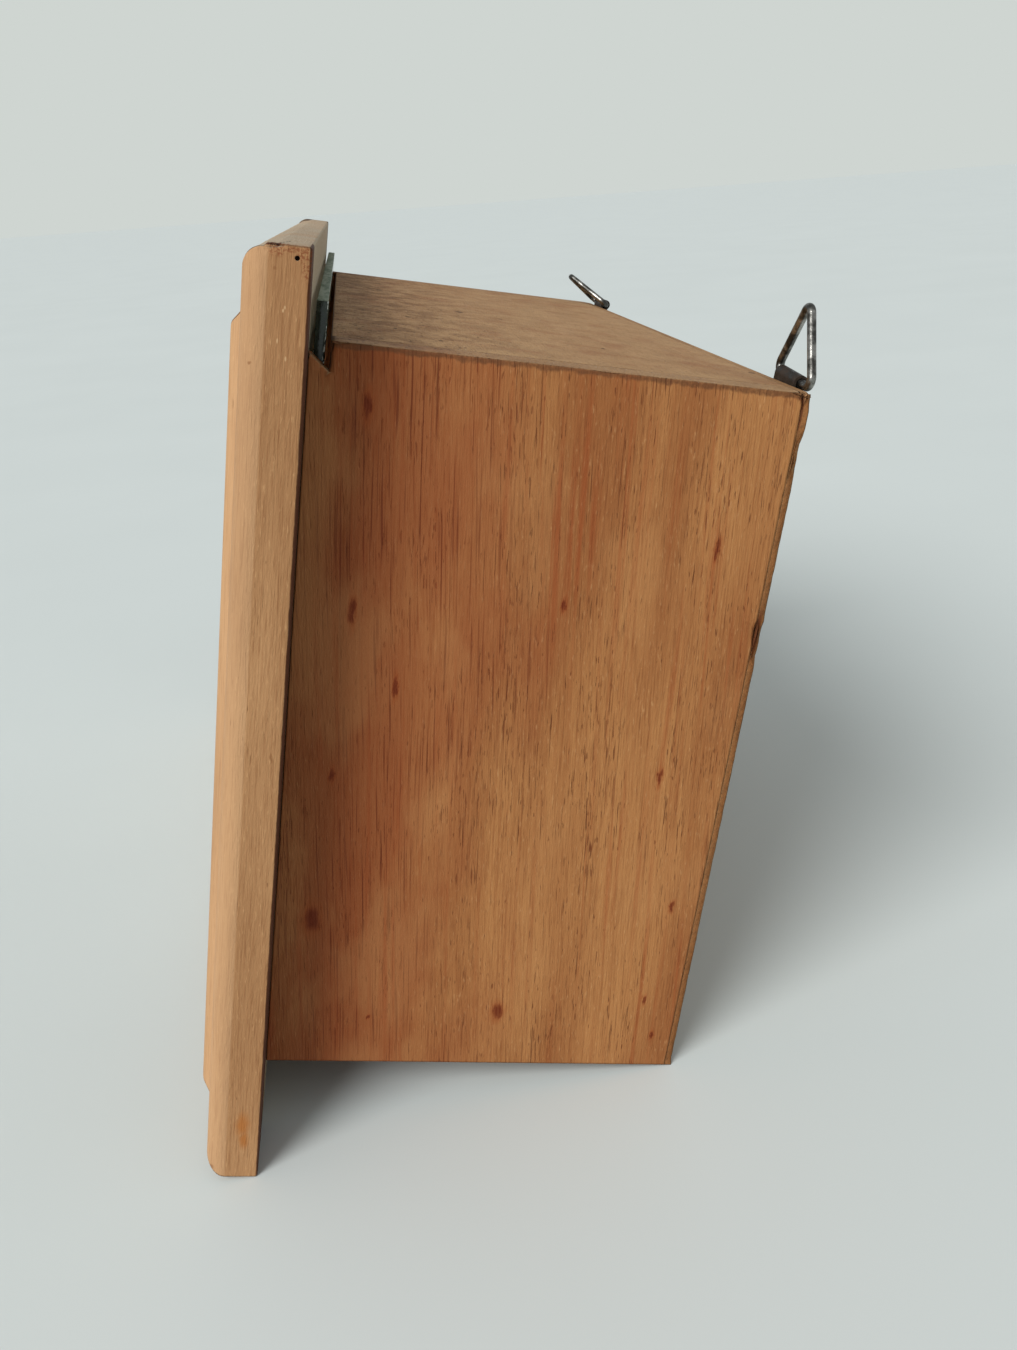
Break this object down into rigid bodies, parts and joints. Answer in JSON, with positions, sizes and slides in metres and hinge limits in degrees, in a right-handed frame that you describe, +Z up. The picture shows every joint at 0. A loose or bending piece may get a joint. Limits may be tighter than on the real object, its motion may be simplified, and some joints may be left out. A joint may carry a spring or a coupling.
{
  "type": "wall display box",
  "caption": "Shallow wooden wall display box with a mitred picture-moulding frame, a lift-out glass pane and folding triangular wire hangers on its back.",
  "frame": {"origin": "middle of the overall footprint, at the height of the frame's bottom edge", "axes": "+X to the box's right hand, -Y towards the glazed front, +Z up the box"},
  "size_m": [0.24, 0.1058, 0.1825],
  "materials": {
    "frame_wood": "bare, lightly waxed, aged",
    "case_wood": "bare reddish hardwood, aged",
    "top_wood": "bare, dusty and weathered",
    "back_board": "thin board, bare",
    "glass": "clear, green edges",
    "wire": "darkened by age",
    "strap": "dark, a little rusty",
    "nails": "dark"
  },
  "bodies": {
    "case": {"mitre_pins": "nails", "frame_brads": "nails", "back_pins": "nails", "hanger_nails": "nails", "hanger_strap_left": "strap", "hanger_strap_right": "strap", "side_board_left": "case_wood", "side_board_right": "case_wood", "top_board": "top_wood", "bottom_board": "case_wood", "back_panel": "back_board", "frame_top_rail": "frame_wood", "frame_left_stile": "frame_wood", "frame_bottom_rail": "frame_wood", "frame_right_stile": "frame_wood"},
    "glass": {"glass_pane": "glass"},
    "ring_left": {"hanger_ring_left": "wire"},
    "ring_right": {"hanger_ring_right": "wire"}
  },
  "joints": [
    {"name": "glass_lift", "type": "slide", "parent": "case", "child": "glass", "axis": [0, 0, 1], "range_m": [0, 0.16]},
    {"name": "ring_right_swing", "type": "hinge", "parent": "case", "child": "ring_right", "pos_m": [0.0895, 0.05145, 0.1684], "axis": [0.9981, 0, -0.061], "range_deg": [-170, 65]},
    {"name": "ring_left_swing", "type": "hinge", "parent": "case", "child": "ring_left", "pos_m": [-0.0895, 0.05145, 0.1684], "axis": [1, 0, 0], "range_deg": [-228, 27]}
  ]
}
